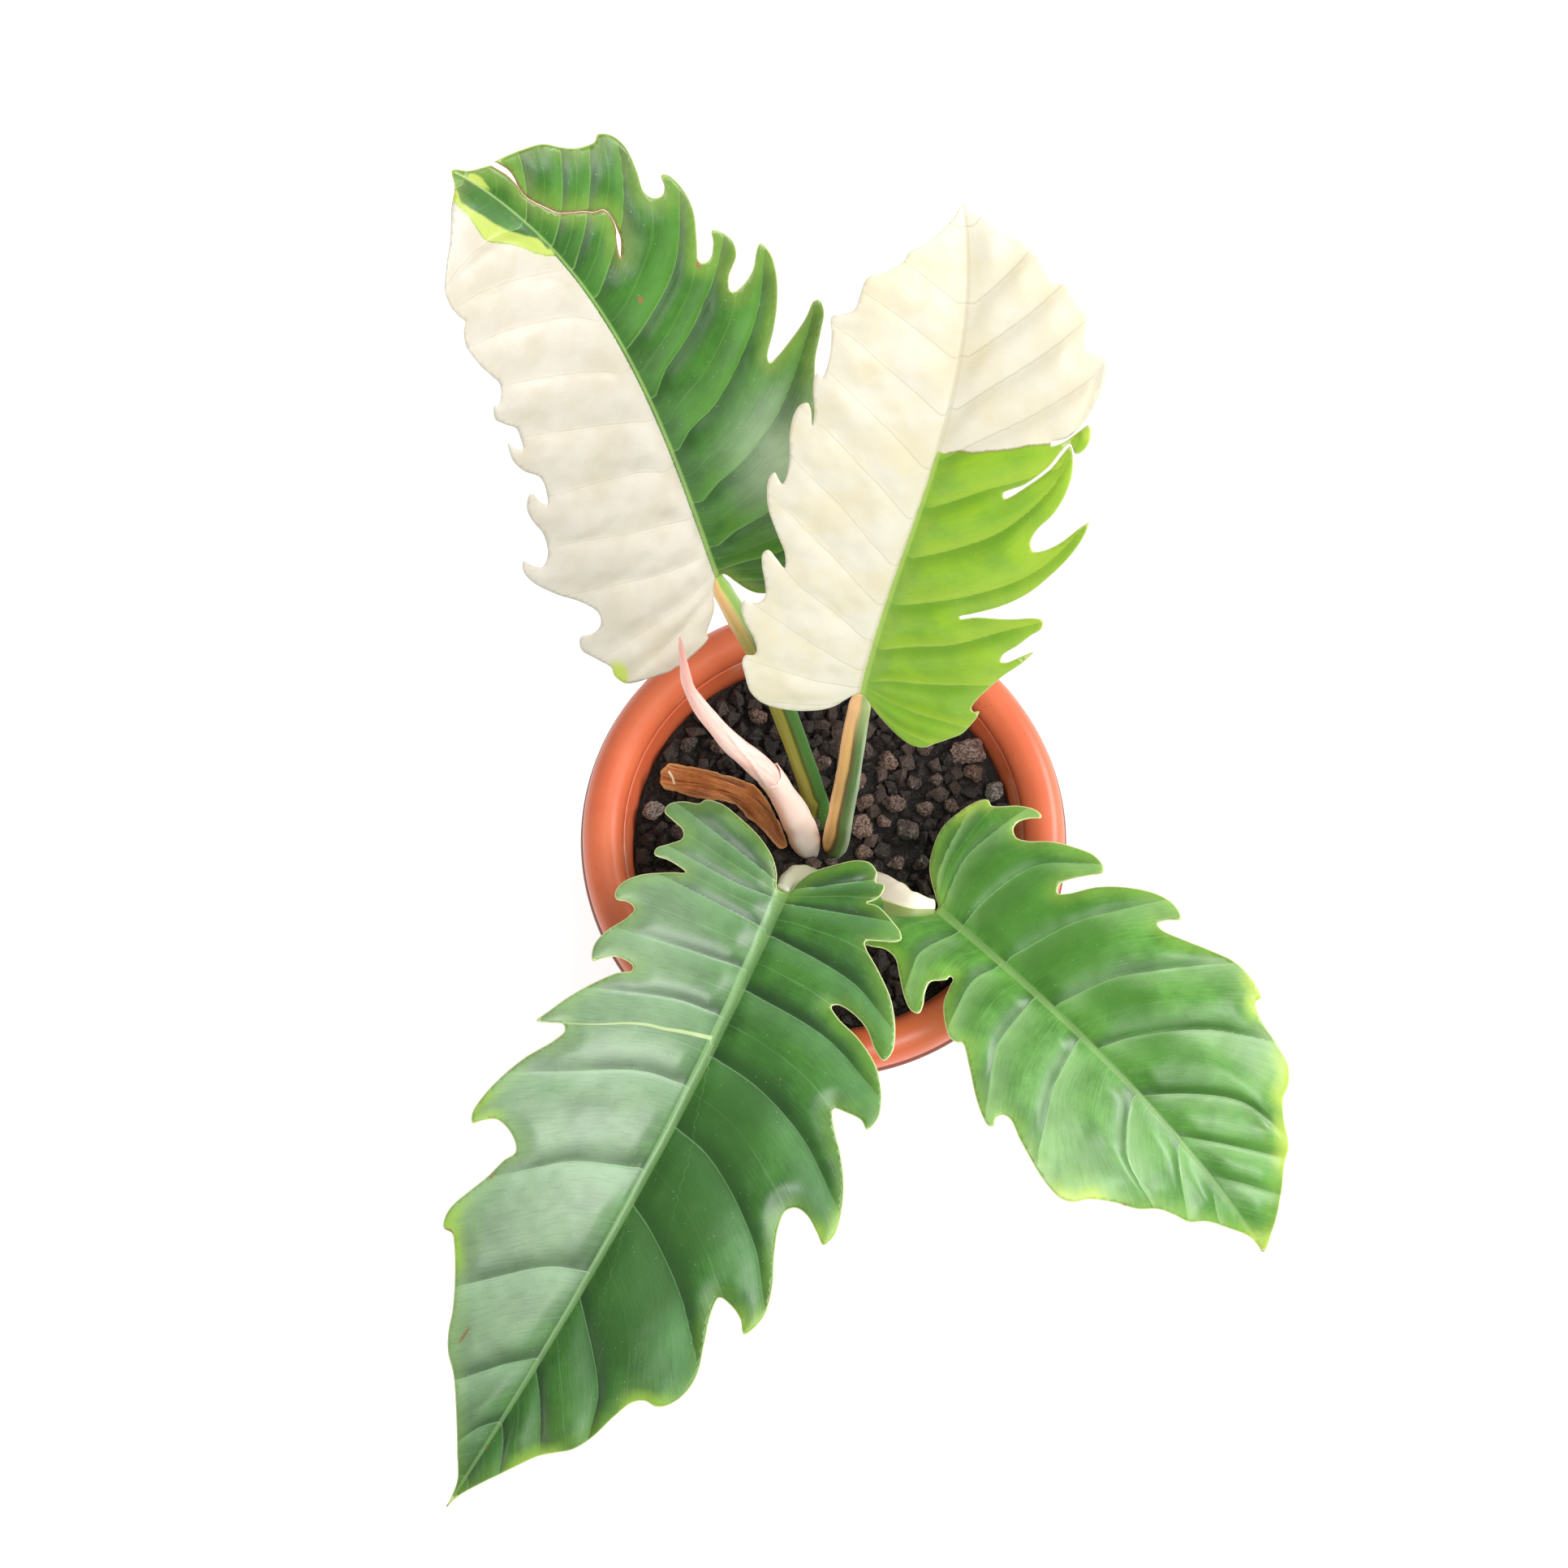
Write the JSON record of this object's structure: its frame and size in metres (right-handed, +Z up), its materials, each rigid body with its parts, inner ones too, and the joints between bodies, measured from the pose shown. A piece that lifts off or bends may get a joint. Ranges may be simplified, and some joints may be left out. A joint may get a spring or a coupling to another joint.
{
  "type": "potted variegated saw philodendron",
  "caption": "Round terracotta-coloured plastic pot with a rolled rim, filled with lava grit, holding an aroid with long toothed leaves in cream, lime and green and a rolled pink new leaf.",
  "frame": {"origin": "centre of the pot's flat underside, on the floor it stands on", "axes": "+Z up; -Y is the side the picture looks from; +X is the picture's right"},
  "size_m": [0.2943, 0.3883, 0.4256],
  "materials": {
    "pot_plastic": "moulded polypropylene in terracotta orange, satin, with faint turned scratches and grit dust",
    "lava_grit": "broken vesicular lava, dull, from charcoal to reddish brown",
    "crown_tissue": "short green-brown stem, buried",
    "petiole_two_tone": "smooth stalk, orange to olive on its left side and green on its right, with a dark channel",
    "petiole_sheath": "smooth broad stalk base, cream to whitish green with faint streaks",
    "leaf_half_cream": "satin leaf, left half cream, right half mid green",
    "leaf_lime_cream": "satin leaf, cream with a lime-green lower right half",
    "leaf_green": "satin mid green leaf with pale veins and a cream hairline margin",
    "leaf_deep_green": "satin green leaf with pale veins, a cream streak and a cream hairline margin",
    "bud_sheath_pink": "smooth pale cream to pink sheath",
    "new_leaf_pink": "smooth pink rolled leaf",
    "dried_sheath_brown": "dry papery sheath, fibrous, orange-brown"
  },
  "bodies": {
    "root": {"bud_sheath": "bud_sheath_pink", "crown": "crown_tissue", "dried_sheath": "dried_sheath_brown", "grit_bed": "lava_grit", "leaf_blade_back_left": "leaf_half_cream", "leaf_blade_back_right": "leaf_lime_cream", "leaf_blade_front_left": "leaf_deep_green", "leaf_blade_front_right": "leaf_green", "petiole_back_left": "petiole_two_tone", "petiole_back_right": "petiole_two_tone", "petiole_front_left": "petiole_sheath", "petiole_front_right": "petiole_sheath", "pot": "pot_plastic", "rolled_new_leaf": "new_leaf_pink", "surface_stone_01": "lava_grit", "surface_stone_02": "lava_grit", "surface_stone_03": "lava_grit", "surface_stone_04": "lava_grit", "surface_stone_05": "lava_grit", "surface_stone_06": "lava_grit", "surface_stone_07": "lava_grit", "surface_stone_08": "lava_grit", "surface_stone_09": "lava_grit", "surface_stone_10": "lava_grit", "surface_stone_11": "lava_grit", "surface_stone_12": "lava_grit", "surface_stone_13": "lava_grit", "surface_stone_14": "lava_grit", "surface_stone_15": "lava_grit", "surface_stone_16": "lava_grit", "surface_stone_17": "lava_grit", "surface_stone_18": "lava_grit", "surface_stone_19": "lava_grit", "surface_stone_20": "lava_grit", "surface_stone_21": "lava_grit", "surface_stone_22": "lava_grit", "surface_stone_23": "lava_grit", "surface_stone_24": "lava_grit", "surface_stone_25": "lava_grit", "surface_stone_26": "lava_grit", "surface_stone_27": "lava_grit", "surface_stone_28": "lava_grit", "surface_stone_29": "lava_grit"}
  },
  "joints": []
}
